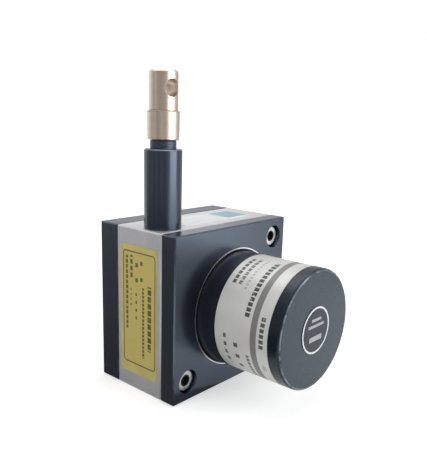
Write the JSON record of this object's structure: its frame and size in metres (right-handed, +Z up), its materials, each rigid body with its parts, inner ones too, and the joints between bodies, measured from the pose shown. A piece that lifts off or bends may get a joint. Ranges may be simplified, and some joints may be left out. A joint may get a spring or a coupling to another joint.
{
  "type": "draw wire encoder",
  "caption": "Draw wire displacement encoder: a sprung wire drum in a layered metal block, with a round rotary encoder on the front and an upright wire outlet.",
  "frame": {"origin": "centre of the four tapped mounting holes in the bottom face", "axes": "+Z up, along the wire as it is drawn out; +Y from the front plate to the rear plate; +X to the right seen from the encoder's side"},
  "size_m": [0.0552, 0.0665, 0.1011],
  "materials": {
    "black_anodised": "satin black anodised aluminium",
    "pale_anodised": "fine matt natural anodised aluminium",
    "screw_steel": "zinc-plated socket screws",
    "black_plastic": "black moulded plastic, fine texture",
    "black_flange": "black anodised aluminium",
    "felt": "pressed felt",
    "ceramic": "glazed ceramic",
    "spring_can": "zinc-plated sheet",
    "spring_strip": "blued spring steel",
    "ground_steel": "ground steel",
    "ball_steel": "polished steel",
    "brass": "turned brass",
    "copper": "crimped copper",
    "wire_rope": "stranded stainless wire",
    "drum_alloy": "turned aluminium",
    "black_oxide": "black oxide steel",
    "seal_rubber": "nitrile rubber",
    "silver_label": "silver printed film",
    "badge_film": "dark printed film with a pale ring",
    "yellow_label": "yellow printed film",
    "white_label": "white printed film",
    "disc_glass": "coded glass",
    "lamp_red": "tinted clear resin",
    "dark_resin": "moulded resin",
    "board_green": "solder mask",
    "header_cream": "moulded nylon",
    "nickel": "nickel-plated brass"
  },
  "bodies": {
    "housing": {"rear_plate": "black_anodised", "drum_housing": "pale_anodised", "front_plate": "black_anodised", "plate_screws": "screw_steel", "outlet_tube": "black_anodised", "wire_nozzle": "black_plastic", "felt_wiper": "felt", "guide_bush": "ceramic", "spring_cup": "spring_can", "spring_cover": "spring_can", "spring_pin": "ground_steel", "cup_screws": "screw_steel", "power_spring": "spring_strip", "drum_bearing_outer": "ground_steel", "side_label": "yellow_label", "top_label": "white_label", "encoder_flange": "black_flange", "encoder_cover": "black_plastic", "cover_seal": "seal_rubber", "encoder_label": "silver_label", "cover_badge": "badge_film", "encoder_screws": "screw_steel", "front_bearing_outer": "ground_steel", "back_bearing_outer": "ground_steel", "lamp_block": "dark_resin", "lamp": "lamp_red", "mask_plate": "disc_glass", "light_sensor": "dark_resin", "circuit_board": "board_green", "board_posts": "brass", "board_screws": "screw_steel", "board_chips": "dark_resin", "wire_header": "header_cream", "cable_gland": "nickel", "gland_insert": "seal_rubber", "gland_nut": "nickel"},
    "rotor": {"wire_drum": "drum_alloy", "drum_shaft": "ground_steel", "grub_screws": "black_oxide", "wound_wire": "wire_rope", "wire_anchor": "copper", "encoder_shaft": "ground_steel", "disc_hub": "brass", "code_disc": "disc_glass", "disc_clamp": "brass", "shaft_circlip": "black_oxide", "drum_bearing_inner": "ground_steel", "front_bearing_inner": "ground_steel", "back_bearing_inner": "ground_steel"},
    "ball_rows": {"bearing_balls": "ball_steel", "bearing_cages": "brass"},
    "wire_end": {"wire_eye": "brass", "collar_nut": "brass", "wire_ferrule": "copper", "draw_wire": "wire_rope"}
  },
  "joints": [
    {"name": "wire_pull", "type": "slide", "parent": "housing", "child": "wire_end", "axis": [0, 0, 1], "range_m": [0, 1], "stiffness_N_per_m": 2, "springref_m": -2.5, "deforming": ["draw_wire"]},
    {"name": "drum_spin", "type": "hinge", "parent": "housing", "child": "rotor", "pos_m": [0.0015, 0, 0.0263], "axis": [0, 1, 0], "range_deg": [0, 2642], "deforming": ["power_spring"]},
    {"name": "ball_spin", "type": "hinge", "parent": "housing", "child": "ball_rows", "pos_m": [0.0015, 0, 0.0263], "axis": [0, 1, 0], "range_deg": [0, 1044]}
  ],
  "couplings": [
    {"joint": "drum_spin", "follows": "wire_pull", "rad_per_m": 46.083},
    {"joint": "ball_spin", "follows": "wire_pull", "rad_per_m": 18.191}
  ]
}
